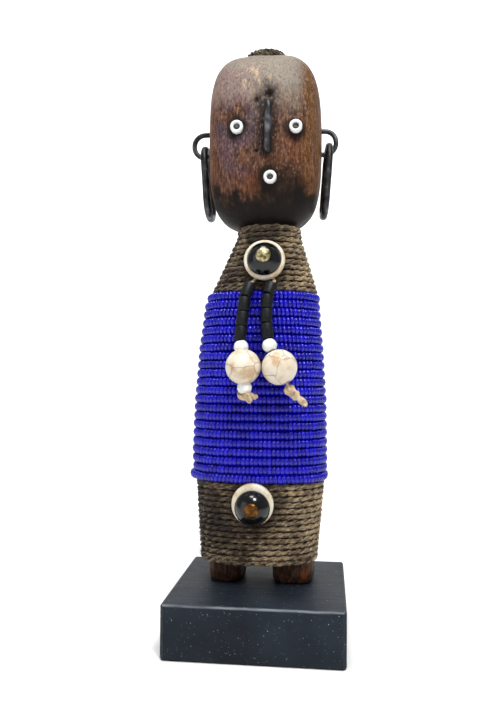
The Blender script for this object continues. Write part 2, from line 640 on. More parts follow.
# %% Build the twine tree
def twine_tree():
    """Lays plies round a guide line, with hairs."""
    tree, given = start_tree("lay_twine", [
        ("Ply radius", "Float", 0.5 * MM), ("Offset", "Float", 0.5 * MM), ("Lay length", "Float", 5 * MM),
        ("Step", "Float", 0.6 * MM), ("Hair density", "Float", 0.0), ("Hair length", "Float", 1.5 * MM),
        ("Seed", "Int", 1), ("Material", "Material", None)])
    line = add(tree, "GeometryNodeMeshToCurve", {"Mesh": given["Geometry"]}).outputs[0]
    line = add(tree, "GeometryNodeResampleCurve", {"Curve": line, "Length": given["Step"]},
               mode="LENGTH").outputs[0]
    line = add(tree, "GeometryNodeSetCurveNormal", {"Curve": line}, mode="Z_UP").outputs[0]
    gone = add(tree, "GeometryNodeSplineParameter").outputs["Length"]
    turned = add(tree, MATH, {0: gone, 1: given["Lay length"]}, operation="DIVIDE").outputs[0]
    side = add(tree, "GeometryNodeInputNormal").outputs[0]
    ahead = add(tree, "GeometryNodeInputTangent").outputs[0]
    other = add(tree, VECTOR, {0: ahead, 1: side}, operation="CROSS_PRODUCT").outputs[0]
    uneven = add(tree, NOISE, {"Vector": add(tree, "GeometryNodeInputPosition").outputs[0],
                               "Scale": every(4)}).outputs["Fac"]
    plies = []
    for ply in (0, 1):
        angle = add(tree, MATH, {0: turned, 1: math.tau, 2: math.pi * ply},
                    operation="MULTIPLY_ADD").outputs[0]
        parts = []
        for operation, direction in (("COSINE", side), ("SINE", other)):
            wave = add(tree, MATH, {0: angle}, operation=operation).outputs[0]
            push = add(tree, MATH, {0: wave, 1: given["Offset"]}, operation="MULTIPLY").outputs[0]
            parts.append(add(tree, VECTOR, {0: direction, "Scale": push}, operation="SCALE").outputs[0])
        offset = add(tree, VECTOR, {0: parts[0], 1: parts[1]}).outputs[0]
        strand = add(tree, "GeometryNodeSetPosition", {"Geometry": line, "Offset": offset}).outputs[0]
        along = add(tree, "GeometryNodeCaptureAttribute", {"Geometry": strand})
        along.capture_items.new("FLOAT", "Gone")
        tree.links.new(gone, along.inputs[1])
        thick = add(tree, RANGE, {"Value": uneven, "From Min": 0.3, "From Max": 0.7, "To Min": 0.78,
                                  "To Max": 1.18}).outputs[0]
        sized = add(tree, "GeometryNodeSetCurveRadius",
                    {"Curve": along.outputs[0], "Radius": thick}).outputs[0]
        ring = add(tree, "GeometryNodeCurvePrimitiveCircle",
                   {"Resolution": 6, "Radius": given["Ply radius"]}).outputs[0]
        round_it = add(tree, "GeometryNodeCaptureAttribute", {"Geometry": ring})
        round_it.capture_items.new("FLOAT", "Round")
        tree.links.new(add(tree, "GeometryNodeSplineParameter").outputs["Factor"], round_it.inputs[1])
        skin = add(tree, "GeometryNodeCurveToMesh", {"Curve": sized, "Profile Curve": round_it.outputs[0],
                                                     "Fill Caps": True}).outputs[0]
        far = add(tree, MATH, {0: along.outputs[1], 1: 1000.0}, operation="MULTIPLY").outputs[0]
        lay = add(tree, COMBINED, {0: far, 1: round_it.outputs[1], 2: float(ply)}).outputs[0]
        plies.append(add(tree, "GeometryNodeStoreNamedAttribute",
                         {"Geometry": skin, "Name": "lay", "Value": lay},
                         data_type="FLOAT_VECTOR", domain="POINT").outputs[0])
    join = add(tree, "GeometryNodeJoinGeometry")
    for skin in plies:
        tree.links.new(skin, join.inputs[0])
    spots = add(tree, "GeometryNodeDistributePointsOnFaces",
                {"Mesh": join.outputs[0], "Density": given["Hair density"], "Seed": given["Seed"]})
    bend = add(tree, RANDOM, {0: (-0.9,) * 3, 1: (0.9,) * 3, "Seed": given["Seed"]},
               data_type="FLOAT_VECTOR").outputs[0]
    leaning = add(tree, VECTOR, {0: spots.outputs["Normal"], 1: bend}).outputs[0]
    leaning = add(tree, ALIGN, {"Vector": leaning}, axis="Z").outputs[0]
    long = add(tree, RANDOM, {2: 0.4, 3: 1.1, "Seed": given["Seed"]}, data_type="FLOAT").outputs[1]
    long = add(tree, MATH, {0: long, 1: given["Hair length"]}, operation="MULTIPLY").outputs[0]
    hair = add(tree, "GeometryNodeMeshCone", {"Vertices": 3, "Side Segments": 1, "Radius Top": 0.0,
                                              "Radius Bottom": 0.07 * MM, "Depth": 1.0}).outputs["Mesh"]
    tall = add(tree, COMBINED, {0: 1.0, 1: 1.0, 2: long}).outputs[0]
    hairs = add(tree, "GeometryNodeInstanceOnPoints", {"Points": spots.outputs["Points"], "Instance": hair,
                                                       "Rotation": leaning, "Scale": tall}).outputs[0]
    both = add(tree, "GeometryNodeJoinGeometry")
    tree.links.new(hairs, both.inputs[0])
    tree.links.new(join.outputs[0], both.inputs[0])
    whole = add(tree, "GeometryNodeSetShadeSmooth", {"Geometry": both.outputs[0]}).outputs[0]
    whole = add(tree, "GeometryNodeRealizeInstances", {"Geometry": whole}).outputs[0]
    whole = add(tree, "GeometryNodeSetMaterial",
                {"Geometry": whole, "Material": given["Material"]}).outputs[0]
    add(tree, "NodeGroupOutput", {"Geometry": whole})
    return tree


lay_twine = twine_tree()
print("twine tree has", len(lay_twine.nodes), "nodes")

# %% [markdown]
# ## The two bindings
# One length of twine winds up the neck and another up the legs, each turn against the last. A hand-wound
# binding is never even, so the guide lines wander a little, and the lowest turns hang looser.

# %% Wind the bindings
def winding(name, low_z, high_z, loose, seed):
    """A guide line that winds from one height to another."""
    turns = round((high_z - low_z) / TWINE_D)
    pitch = (high_z - low_z) / turns
    steps = 120
    path = []
    for i in range((turns + 1) * steps):
        a = math.tau * i / steps
        # the first and the last turn lie level, so that both ends of the binding are square
        climbed = min(max(i / steps - 1, 0.0), turns - 1)
        z = low_z + pitch * (0.5 + climbed)
        wander = noise.noise(Vector((3 * math.cos(a), 3 * math.sin(a), i / steps * 1.7 + seed)))
        slack = loose * max(0.0, 1 - i / steps / 2.5)
        z += wander * (0.26 + 0.5 * slack)
        path.append(body_point(z, a, TWINE_D * 0.46 + 0.1 * wander + 0.15 * slack))
    return guide_line(name, path)


twine_look = {"Ply radius": 0.62 * MM, "Offset": 0.38 * MM, "Lay length": -7.2 * MM, "Step": 0.62 * MM,
              "Hair density": 3.2e5, "Hair length": 1.5 * MM, "Material": jute}
bindings = {}
for node, low_z, high_z, loose, seed in (("neck_twine", shoulder_z, neck_z - 0.4, 0.0, 3),
                                         ("leg_twine", hem_z, hip_z, 1.0, 8)):
    bindings[node] = run_tree(winding(f"{node}_binding", low_z, high_z, loose, seed), lay_twine,
                              {**twine_look, "Seed": seed})

# %% [markdown]
# ## Blue glass
# The seed beads are pressed from opaque cobalt glass. Their surface is fire-polished, so each one shows a
# small bright highlight, and the colour varies a little from bead to bead, which reads as hand-made.

# %% Make the glass finishes
cobalt_glass, tree, place = start_finish("opaque_cobalt_seed_glass")
own = add(tree, "ShaderNodeAttribute", attribute_name="bead").outputs["Fac"]
tone = add(tree, RAMP, {"Fac": own},
           stops=[(0.0, "#07038e"), (0.5, "#0a05a6"), (1.0, "#0e08ba")]).outputs["Color"]
haze = add(tree, NOISE, {"Vector": place, "Scale": every(2.2), "Detail": 3.0}).outputs["Fac"]
gloss = add(tree, RANGE, {"Value": haze, "To Min": 0.10, "To Max": 0.22}).outputs[0]
end_finish(tree, {"Base Color": tone, "Roughness": gloss, "Specular IOR Level": 0.5})
white_glass, tree, place = start_finish("opaque_white_glass")
cloud = add(tree, NOISE, {"Vector": place, "Scale": every(1.8), "Detail": 3.0}).outputs["Fac"]
tone = add(tree, RAMP, {"Fac": cloud}, stops=[(0.3, "#dfe0dc"), (0.6, "#f7f7f4")]).outputs["Color"]
relief = add(tree, BUMP, {"Height": cloud, "Strength": 0.15, "Distance": 0.1 * MM}).outputs["Normal"]
end_finish(tree, {"Base Color": tone, "Roughness": 0.24, "Normal": relief, "Subsurface Weight": 0.08,
                  "Subsurface Scale": 0.5 * MM, "Coat Weight": 0.3})
print("made", cobalt_glass.name, "and", white_glass.name)

# %% [markdown]
# ## A tree that threads beads
# Each turn is a closed thread round the body. The tree spaces points evenly along it and puts one small
# barrel bead on each, with its hole along the thread. Size and tilt differ by a seeded chance.

# %% Build the bead tree
def bead_tree():
    """Threads beads on a closed guide line."""
    tree, given = start_tree("thread_beads", [
        ("Count", "Int", 60), ("Height", "Float", 3 * MM), ("Depth", "Float", 2.5 * MM),
        ("Length", "Float", 1.5 * MM), ("Seed", "Int", 1), ("Material", "Material", None)])
    line = add(tree, "GeometryNodeMeshToCurve", {"Mesh": given["Geometry"]}).outputs[0]
    line = add(tree, "GeometryNodeResampleCurve", {"Curve": line, "Count": given["Count"]},
               mode="COUNT").outputs[0]
    line = add(tree, "GeometryNodeSetCurveNormal", {"Curve": line}, mode="Z_UP").outputs[0]
    ahead = add(tree, "GeometryNodeInputTangent").outputs[0]
    outward = add(tree, "GeometryNodeInputNormal").outputs[0]
    tilt = add(tree, RANDOM, {0: (-0.07,) * 3, 1: (0.07,) * 3, "Seed": given["Seed"]},
               data_type="FLOAT_VECTOR").outputs[0]
    tilted = add(tree, VECTOR, {0: ahead, 1: tilt}).outputs[0]
    facing = add(tree, ALIGN, {"Vector": tilted}, axis="Z").outputs[0]
    facing = add(tree, ALIGN, {"Rotation": facing, "Vector": outward}, axis="X",
                 pivot_axis="Z").outputs[0]
    size = add(tree, RANDOM, {2: 0.90, 3: 1.0, "Seed": given["Seed"]}, data_type="FLOAT").outputs[1]
    deep = add(tree, MATH, {0: given["Depth"], 1: size}, operation="MULTIPLY").outputs[0]
    tall = add(tree, MATH, {0: given["Height"], 1: size}, operation="MULTIPLY").outputs[0]
    scale = add(tree, COMBINED, {0: deep, 1: tall, 2: given["Length"]}).outputs[0]
    own = add(tree, RANDOM, {2: 0.0, 3: 1.0, "Seed": given["Seed"]}, data_type="FLOAT").outputs[1]
    # a bead one unit wide and one long: nine sides round, six round its wall
    middle = add(tree, "GeometryNodeCurvePrimitiveCircle", {"Resolution": 9, "Radius": 0.33}).outputs[0]
    wall = add(tree, "GeometryNodeCurvePrimitiveCircle", {"Resolution": 6, "Radius": 0.17}).outputs[0]
    bead = add(tree, "GeometryNodeCurveToMesh", {"Curve": middle, "Profile Curve": wall}).outputs[0]
    bead = add(tree, "GeometryNodeTransform", {"Geometry": bead, "Scale": (1.0, 1.0, 3.1)}).outputs[0]
    kept = add(tree, "GeometryNodeStoreNamedAttribute", {"Geometry": line, "Name": "bead", "Value": own},
               data_type="FLOAT", domain="POINT").outputs[0]
    beads = add(tree, "GeometryNodeInstanceOnPoints", {"Points": kept, "Instance": bead, "Rotation": facing,
                                                       "Scale": scale}).outputs[0]
    beads = add(tree, "GeometryNodeSetShadeSmooth", {"Geometry": beads}).outputs[0]
    beads = add(tree, "GeometryNodeRealizeInstances", {"Geometry": beads}).outputs[0]
    beads = add(tree, "GeometryNodeSetMaterial",
                {"Geometry": beads, "Material": given["Material"]}).outputs[0]
    add(tree, "NodeGroupOutput", {"Geometry": beads})
    return tree


thread_beads = bead_tree()
print("bead tree has", len(thread_beads.nodes), "nodes")

# %% [markdown]
# ## Twenty-two turns of beads
# Every turn is its own loop and its own piece. The lowest one stands a little looser than the rest and has
# slipped outwards at the figure's left.

# %% Thread the turns
BEAD_PITCH, BEAD_DEPTH, BEAD_HEIGHT = 1.5, 2.5, seed_d * 1.10
LOWEST_LOOSE, LOWEST_SLIP = 0.3, 0.9
rows = {}
for k in range(1, TURNS + 1):
    middle_height = shoulder_z - (k - 0.5) * seed_d
    loop = []
    for i in range(240):
        a = math.tau * i / 240
        wander = noise.noise(Vector((2 * math.cos(a), 2 * math.sin(a), k * 0.9)))
        loose = LOWEST_LOOSE if k == TURNS else 0.0
        point = body_point(middle_height, a, seed_d - BEAD_DEPTH / 2 + 0.06 * wander + loose)
        slipped = LOWEST_SLIP * max(0.0, -math.cos(a)) ** 6 if k == TURNS else 0.0
        loop.append(point + Vector((-slipped, 0.0, 0.16 * wander)) * MM)
    around = sum((b - a).length for a, b in zip(loop, loop[1:] + loop[:1])) / MM
    rows[k] = run_tree(guide_line(f"seed_bead_turn_{k:02d}", loop, closed=True), thread_beads,
                       {"Count": round(around / BEAD_PITCH), "Height": BEAD_HEIGHT * MM,
                        "Depth": BEAD_DEPTH * MM, "Length": BEAD_PITCH * 1.06 * MM, "Seed": 40 + k,
                        "Material": cobalt_glass})

# %% [markdown]
# ## Iron wire
# Nose, ears and hoops are soft iron wire, bent cold over a peg. Heat and handling have left it blue-black,
# with grey where it is rubbed. It was never perfectly round, so its thickness wavers.

# %% Make the iron's finish
forged_iron, tree, place = start_finish("blackened_iron_wire")
scale_marks = add(tree, NOISE, {"Vector": place, "Scale": every(1.3), "Detail": 5.0}).outputs["Fac"]
rub = add(tree, NOISE, {"Vector": place, "Scale": every(5), "Detail": 2.0}).outputs["Fac"]
tone = add(tree, RAMP, {"Fac": rub},
           stops=[(0.35, "#2b2a2b"), (0.55, "#4a4a4d"), (0.72, "#8a8b90")]).outputs["Color"]
relief = add(tree, BUMP, {"Height": scale_marks, "Strength": 0.35, "Distance": 0.12 * MM}).outputs["Normal"]
gloss = add(tree, RANGE, {"Value": scale_marks, "To Min": 0.30, "To Max": 0.52}).outputs[0]
end_finish(tree, {"Base Color": tone, "Metallic": 0.85, "Roughness": gloss, "Normal": relief})
print("made", forged_iron.name)

# %% [markdown]
# ## Nose, ears and hoops
# The nose is a staple with rounded shoulders. Each ear is a loop driven into the head's side, and a long
# closed hoop hangs in it. The hoops are the only pieces of wire that move.

# %% Bend the wires
def wavering(base, amount, seed):
    """A radius that wavers along a wire."""
    return lambda share: base * (1 + amount * noise.noise(Vector((share * 23, seed, 0.0))))


def bent(corners, r, steps=8):
    """A path through corners, each rounded to radius r."""
    path = [corners[0]]
    for before, here, after in zip(corners, corners[1:], corners[2:]):
        into, out = (before - here).normalized(), (after - here).normalized()
        for i in range(steps + 1):
            a = math.pi / 2 * i / steps
            path.append(here + into * r * (1 - math.sin(a)) + out * r * (1 - math.cos(a)))
    return path + [corners[-1]]


def filled(path, step):
    """The same path with a point at least every so many millimetres."""
    full = []
    for a, b in zip(path, path[1:]):
        parts = max(1, math.ceil((b - a).length / (step * MM)))
        full += [a.lerp(b, i / parts) for i in range(parts)]
    return full + [path[-1]]


EAR_Y, EAR_LOW, EAR_TALL, EAR_LEG = 10.0, 175.22, 8.8, 9.0
NOSE_X, NOSE_Y, NOSE_LOW, NOSE_HIGH = 2.4, -11.985, 171.12, 188.1
nose_corners = [Vector((NOSE_X - 0.05, -1, NOSE_LOW)), Vector((NOSE_X - 0.05, NOSE_Y, NOSE_LOW)),
                Vector((NOSE_X + 0.25, NOSE_Y, NOSE_HIGH)), Vector((NOSE_X + 0.25, -1, NOSE_HIGH))]
nose_path = filled([p * MM for p in bent(nose_corners, 3.0)], 0.5)
wires = {"nose_staple": mesh_object("iron_nose_staple", *sweep(nose_path, wavering(1.3 * MM, 0.02, 1.0), 18,
                                                               start_side=Vector((1.0, 0.0, 0.0))))}
for node, sign, reach, seed in (("left_ear_wire", -1, 6.8, 2.0), ("right_ear_wire", 1, 5.4, 3.0)):
    tip, root = sign * (HEAD_W / 2 + reach), sign * (HEAD_W / 2 - EAR_LEG)
    corners = [Vector((root, EAR_Y, EAR_LOW)), Vector((tip, EAR_Y, EAR_LOW)),
               Vector((tip, EAR_Y, EAR_LOW + EAR_TALL)), Vector((root, EAR_Y, EAR_LOW + EAR_TALL))]
    path = filled([p * MM for p in bent(corners, 4.2)], 0.5)
    wires[node] = mesh_object(f"iron_{node}", *sweep(path, wavering(0.95 * MM, 0.04, seed), 14,
                                                     start_side=Vector((0.0, 1.0, 0.0))))

HOOP_R, HOOP_RUN, HOOP_TOP = 6.15, 14.0, 178.07
# each hoop: side, x, lean and yaw in degrees, and the seed of its wavering
HOOPS = [("left_earring", -1, -23.05, 4, -1, 4.0), ("right_earring", 1, 23.55, 4, 6, 5.0)]
for node, sign, x, lean, yaw, seed in HOOPS:
    outline = arc(0, -HOOP_R, HOOP_R, 0, 180, 28) + arc(0, -HOOP_R - HOOP_RUN, HOOP_R, 180, 360, 28)
    loop = filled([Vector((0.0, y, z)) * MM for y, z in outline + outline[:1]], 0.6)[:-1]
    swing = (Matrix.Translation((x * MM, EAR_Y * MM, HOOP_TOP * MM))
             @ Matrix.Rotation(math.radians(sign * lean), 4, "Y")
             @ Matrix.Rotation(math.radians(yaw), 4, "Z"))
    loop = [swing @ p for p in loop]
    wires[node] = mesh_object(f"iron_{node}", *sweep(loop, wavering(1.33 * MM, 0.05, seed), 18, closed=True,
                                                     start_side=Vector((1.0, 0.0, 0.0))))
for wire in wires.values():
    wire.data.materials.append(forged_iron)
print("bent", len(wires), "wires")

# %% [markdown]
# ## Bone, horn and brass
# Each button is a bone washer under a polished black horn dome, held by a brass tack. Bone is cream with
# fine dark pores and yellow stains. Horn is polished to a deep gloss. The brass is hammered and dull.

# %% Make the button finishes
bone, tree, place = start_finish("polished_bone")
stain = add(tree, NOISE, {"Vector": place, "Scale": every(4), "Detail": 4.0}).outputs["Fac"]
specks = add(tree, NOISE, {"Vector": place, "Scale": every(0.5), "Detail": 2.0}).outputs["Fac"]
tone = add(tree, RAMP, {"Fac": stain},
           stops=[(0.30, "#bfa67e"), (0.45, "#ddd0b4"), (0.65, "#ebe4d2")]).outputs["Color"]
pits = add(tree, RANGE, {"Value": specks, "From Min": 0.36, "From Max": 0.28, "To Max": 0.7}).outputs[0]
tone = add(tree, MIX, {0: pits, 6: tone, 7: hue("#8a6236")}, data_type="RGBA").outputs[2]
relief = add(tree, BUMP, {"Height": specks, "Strength": 0.25, "Distance": 0.08 * MM}).outputs["Normal"]
end_finish(tree, {"Base Color": tone, "Roughness": 0.38, "Normal": relief, "Subsurface Weight": 0.06,
                  "Subsurface Scale": 0.6 * MM})

black_horn, tree, place = start_finish("polished_black_horn")
veil = add(tree, NOISE, {"Vector": place, "Scale": every(3), "Detail": 4.0}).outputs["Fac"]
tone = add(tree, RAMP, {"Fac": veil}, stops=[(0.4, "#050506"), (0.8, "#15161b")]).outputs["Color"]
gloss = add(tree, RANGE, {"Value": veil, "To Min": 0.08, "To Max": 0.24}).outputs[0]
end_finish(tree, {"Base Color": tone, "Roughness": gloss, "Specular IOR Level": 0.42, "Coat Weight": 0.15})


def hammered_brass(name, dark, light):
    """Brass that was struck with a small hammer and has gone dull."""
    material, tree, place = start_finish(name)
    blows = add(tree, CELLS, {"Vector": place, "Scale": every(1.1)}).outputs["Distance"]
    tarnish = add(tree, NOISE, {"Vector": place, "Scale": every(1.5), "Detail": 4.0}).outputs["Fac"]
    tone = add(tree, RAMP, {"Fac": tarnish}, stops=[(0.36, dark), (0.60, light)]).outputs["Color"]
    relief = add(tree, BUMP, {"Height": blows, "Strength": 0.6, "Distance": 0.2 * MM}).outputs["Normal"]
    gloss = add(tree, RANGE, {"Value": tarnish, "To Min": 0.52, "To Max": 0.30}).outputs[0]
    end_finish(tree, {"Base Color": tone, "Metallic": 0.9, "Roughness": gloss, "Normal": relief})
    return material


brasses = {"chest": hammered_brass("hammered_brass", "#6b6038", "#d4cb9c"),
           "belly": hammered_brass("smoked_brass", "#33200f", "#7d5426")}
print("made bone, horn and two brasses")

# %% [markdown]
# ## The buttons
# A button's ring, dome and tack are each turned on a lathe from their own half section. At the belly the
# dome and its tack have slipped down in their ring, so they have an axis of their own.

# %% Turn the buttons
RING_R, RING_T, HOLE_R, DOME_R, DOME_H, TACK_R = 7.3, 2.6, 3.65, 6.15, 4.4, 2.65
SHANK_R, SHANK_LONG, BOSS_R, EDGE_R, TACK_H = 0.8, 15, HOLE_R - 1.2, 1.0, 1
# each button: middle x and height, tilt in degrees, and how far its dome and tack have slipped
BUTTONS = {"chest": (1.3, shoulder_z + 10.6, 11.0, (0.0, 0.0)),
           "belly": (-1.9, hip_z - 6.8, -2.0, (0.0, -1.1))}
buttons = {}
for label, (x, z, tilt, shift) in BUTTONS.items():
    deep = wood_at(z)[2]
    seat = (Matrix.Translation((x * MM, (BODY_Y - deep - TWINE_D - 0.2) * MM, z * MM))
            @ Matrix.Rotation(math.radians(90 - tilt), 4, "X"))
    ring = ([(HOLE_R, 0.0)] + arc(RING_R - EDGE_R, EDGE_R, EDGE_R, -90, 0, 6)
            + arc(RING_R - EDGE_R, RING_T - EDGE_R, EDGE_R, 0, 90, 6) + [(HOLE_R, RING_T)])
    ball = (DOME_R ** 2 + DOME_H ** 2) / (2 * DOME_H)
    reach = math.degrees(math.asin(DOME_R / ball))
    cap = arc(0, RING_T + DOME_H - ball, ball, 90 - reach, 90 - math.degrees(math.asin(SHANK_R / ball)), 24)
    dome = [(SHANK_R, 0.5), (BOSS_R, 0.5), (BOSS_R, RING_T)] + cap
    top = RING_T + DOME_H - 0.35
    round_r = (TACK_R ** 2 + TACK_H ** 2) / (2 * TACK_H)
    spread = math.degrees(math.asin(TACK_R / round_r))
    head = arc(0, top + TACK_H - round_r, round_r, 90 - spread, 90, 12)
    tack = [(0.0, top - SHANK_LONG), (SHANK_R - 0.02, top - SHANK_LONG), (SHANK_R - 0.02, top)] + head
    for part, profile, finish in (("ring", ring, bone), ("dome", dome, black_horn),
                                  ("tack", tack, brasses[label])):
        place_it = seat if part == "ring" else seat @ Matrix.Translation((shift[0] * MM, shift[1] * MM, 0.0))
        made = mesh_object(f"{label}_{part}_turned", *lathe(profile, 72, place_it))
        made.data.materials.append(finish)
        buttons[f"{label}_{part}"] = made
print("turned", len(buttons), "button parts")

# %% [markdown]
# ## Veined stone and black tubes
# The round beads are howlite or a stone dyed like it: chalky cream with thin brown veins that meet in a net.
# The tubes are cut from black horn or resin, matt, with their rims rounded by wear.

# %% Make the strand beads' finishes
veined_stone, tree, place = start_finish("veined_cream_stone")
warp = add(tree, NOISE, {"Vector": place, "Scale": every(5), "Detail": 3.0}).outputs["Color"]
warp = add(tree, VECTOR, {0: warp, "Scale": 3.0 * MM}, operation="SCALE").outputs[0]
bent_place = add(tree, VECTOR, {0: place, 1: warp}).outputs[0]
net = add(tree, CELLS, {"Vector": bent_place, "Scale": every(6.5)},
          feature="DISTANCE_TO_EDGE").outputs["Distance"]
veins = add(tree, RANGE, {"Value": net, "From Min": 0.034, "From Max": 0.0, "To Max": 0.66}).outputs[0]
cloud = add(tree, NOISE, {"Vector": place, "Scale": every(4.5), "Detail": 4.0}).outputs["Fac"]
tone = add(tree, RAMP, {"Fac": cloud},
           stops=[(0.32, "#c8ab84"), (0.46, "#e0d2ba"), (0.66, "#ece4d6")]).outputs["Color"]
tone = add(tree, MIX, {0: veins, 6: tone, 7: hue("#7d5638")}, data_type="RGBA").outputs[2]
relief = add(tree, BUMP, {"Height": net, "Strength": 0.12, "Distance": 0.1 * MM}).outputs["Normal"]
end_finish(tree, {"Base Color": tone, "Roughness": 0.42, "Normal": relief, "Subsurface Weight": 0.05,
                  "Subsurface Scale": 0.6 * MM})
black_tube, tree, place = start_finish("matt_black_tube_bead")
cut = add(tree, NOISE, {"Vector": place, "Scale": every(1.0), "Detail": 5.0}).outputs["Fac"]
tone = add(tree, RAMP, {"Fac": cut}, stops=[(0.35, "#08090a"), (0.62, "#14181a")]).outputs["Color"]
relief = add(tree, BUMP, {"Height": cut, "Strength": 0.3, "Distance": 0.1 * MM}).outputs["Normal"]
gloss = add(tree, RANGE, {"Value": cut, "To Min": 0.36, "To Max": 0.58}).outputs[0]
end_finish(tree, {"Base Color": tone, "Roughness": gloss, "Normal": relief, "Specular IOR Level": 0.25})
print("made", veined_stone.name, "and", black_tube.name)

# %% [markdown]
# ## Beads on the strands
# A drilled bead is a ball whose ends are worn flat at the hole. Each is turned round its own stretch of cord,
# so its hole always follows the cord.

# %% Thread the strands
TUBE_R, TUBE_GAP, TUBE_RIM, BIG_D, SMALL_D = 2.05, 0.30, 0.3, 12.0, 5.0
BIG_ROUND, SMALL_ROUND, BIG_PLAY = 0.96, 0.78, 0.6


def ball_profile(size, share, hole):
    """Half section of a drilled ball that is flat at both ends."""
    r = size / 2
    high = r * share
    limit = math.degrees(math.asin(high / r))
    return [(hole, -high)] + arc(0, 0, r, -limit, limit, 26) + [(hole, high)]


def heading(route, i):
    """Direction of a route at one of its points."""
    return (route[min(i + 1, len(route) - 1)] - route[max(i - 1, 0)]).normalized()


strand_pieces = {}
# how far the small beads have slipped along their cord
pushed = {"left": 0.0, "right": -0.7 * MM}
for side, route in routes.items():
    tubes = []
    for i in range(TUBES_FROM, TUBES_FROM + 4):
        a, b = route[i], route[i + 1]
        tall = (b - a).length / MM - TUBE_GAP
        profile = ([(CORD_D / 2, 0.0)] + arc(TUBE_R - TUBE_RIM, TUBE_RIM, TUBE_RIM, -90, 0, 3)
                   + arc(TUBE_R - TUBE_RIM, tall - TUBE_RIM, TUBE_RIM, 0, 90, 3) + [(CORD_D / 2, tall)])
        tubes.append(lathe(profile, 32, aim(a + (b - a).normalized() * TUBE_GAP / 2 * MM, b - a)))
    balls = [SMALL, END] if side == "left" else [SMALL]
    small = [lathe(ball_profile(SMALL_D, SMALL_ROUND, CORD_D / 2), 40,
                   aim(route[i] + pushed[side] * heading(route, i), heading(route, i))) for i in balls]
    big = lathe(ball_profile(BIG_D, BIG_ROUND, (CORD_D + BIG_PLAY) / 2), 64,
                aim(route[BIG], heading(route, BIG)))
    small_name = f"{side}_small_bead" + ("s" if side == "left" else "")
    for node, shape, finish in ((f"{side}_tubes", merged(tubes), black_tube),
                                (small_name, merged(small), white_glass),
                                (f"{side}_big_bead", big, veined_stone)):
        strand_pieces[node] = mesh_object(f"{node}_turned", *shape)
        strand_pieces[node].data.materials.append(finish)
print("threaded", len(strand_pieces), "bead pieces")

# %% [markdown]
# ## The knots
# Each strand ends in an overhand knot, doubled until it is too fat for the bead to pass. A trefoil is the
# same curve closed, so its formula gives the knot's body, and a short frayed end stands out of it.

# %% Tie the knots
KNOT_ENDS = {"left": [(0, 0, 1.6), (3.4, -0.5, -0.1)], "right": [(-1.8, 0.1, 1.4), (4.6, -0.6, -4.1)]}
for side, route in routes.items():
    middle = route[-1] / MM - Vector((0.0, 0.0, 0.6 if side == "left" else 0.0))
    first, last = (Vector(p) for p in KNOT_ENDS[side])
    lean = (last - first).to_track_quat("X", "Z").to_matrix()
    loops = []
    for i in range(64):
        t = math.tau * i / 64
        shape = Vector(((math.cos(t) - 2 * math.cos(2 * t)) * 0.70,
                        (math.sin(t) + 2 * math.sin(2 * t)) * 0.56, -math.sin(3 * t) * 0.70))
        loops.append(middle + lean @ shape)
    line = [middle + first * 0.8] + loops + [middle + last * 0.55, middle + last * 0.8, middle + last]
    line = smooth_path([p * MM for p in line[::2] + [line[-1]]], 3)
    knot = run_tree(guide_line(f"{side}_overhand_knot", line), lay_twine,
                    {"Ply radius": 0.80 * MM, "Offset": 0.46 * MM, "Lay length": 6.5 * MM, "Step": 0.3 * MM,
                     "Hair density": 3e5, "Hair length": 0.8 * MM, "Seed": 61, "Material": waxed_cotton})
    strand_pieces[f"{side}_knot"] = knot

# %% [markdown]
# ## The bun on the crown
# The hair is a coil of sooty fibre cord wound into a low bun in a hollow of the crown. The cord winds inwards
# as it climbs, over a small core that closes the gaps.

# %% Coil the bun
COIL_POINTS, COIL_TURNS = 720, 7.2
# share of the cord gone, radius of the coil and height over its seat
HAIR_OUTLINE = [(0.0, 6.6, 1.1), (0.34, 7.0, 3.0), (0.64, 6.9, 4.8), (0.84, 4.6, 5.6), (1.0, 0.4, 5.8)]
coil = []
for i in range(COIL_POINTS):
    share = i / (COIL_POINTS - 1)
    a = math.tau * COIL_TURNS * share
    for low, high in zip(HAIR_OUTLINE, HAIR_OUTLINE[1:]):
        if share <= high[0]:
            t = (share - low[0]) / (high[0] - low[0])
            r, rise = (p + (q - p) * t for p, q in zip(low[1:], high[1:]))
            break
    z = HAIR_Z + rise + 0.35 * noise.noise(Vector((i / 30, 0.0, 9.0)))
    coil.append(Vector((r * math.cos(a), HAIR_Y + r * math.sin(a), z)) * MM)
bun = run_tree(guide_line("crown_bun_coil", coil), lay_twine,
               {"Ply radius": 0.62 * MM, "Offset": 0.52 * MM, "Lay length": 4.0 * MM, "Step": 0.5 * MM,
                "Hair density": 1.5e5, "Hair length": 1.2 * MM, "Seed": 71, "Material": crown_fibre})
core_place = Matrix.Translation((0.0, HAIR_Y * MM, hair_low.z))
core_profile = [(0.0, 0.2), (6.6, 0.2), (6.6, 4.2), (4.4, 5.2), (0.8, 5.4), (0.0, 5.4)]
bun_core = mesh_object("crown_bun_core", *lathe(core_profile, 48, core_place))
bun_core.data.materials.append(crown_fibre)

# %% [markdown]
# ## Eye and mouth beads
# Two white rings make the eyes and one the mouth. Each sits in a shallow drilled seat on its nail.

# %% Set the face beads
EYE_D, EYE_T, EYE_HOLE, EYE_SEAT = 4.6, 2.4, 2.2, -8.685
face_beads = {}
for node, (x, z) in zip(("left_eye_bead", "right_eye_bead", "mouth_bead"), FACE_SPOTS):
    seat = Matrix.Translation((x * MM, EYE_SEAT * MM, z * MM)) @ Matrix.Rotation(math.radians(90), 4, "X")
    wall = (EYE_D - EYE_HOLE) / 4
    middle = (EYE_D + EYE_HOLE) / 4
    profile = (arc(middle, wall, wall, 180, 360, 10) + arc(middle, EYE_T - wall, wall, 0, 180, 10))
    made = mesh_object(f"{node}_turned", *lathe(profile, 48, seat))
    made.data.materials.append(white_glass)
    face_beads[node] = made
print("set", len(face_beads), "face beads")

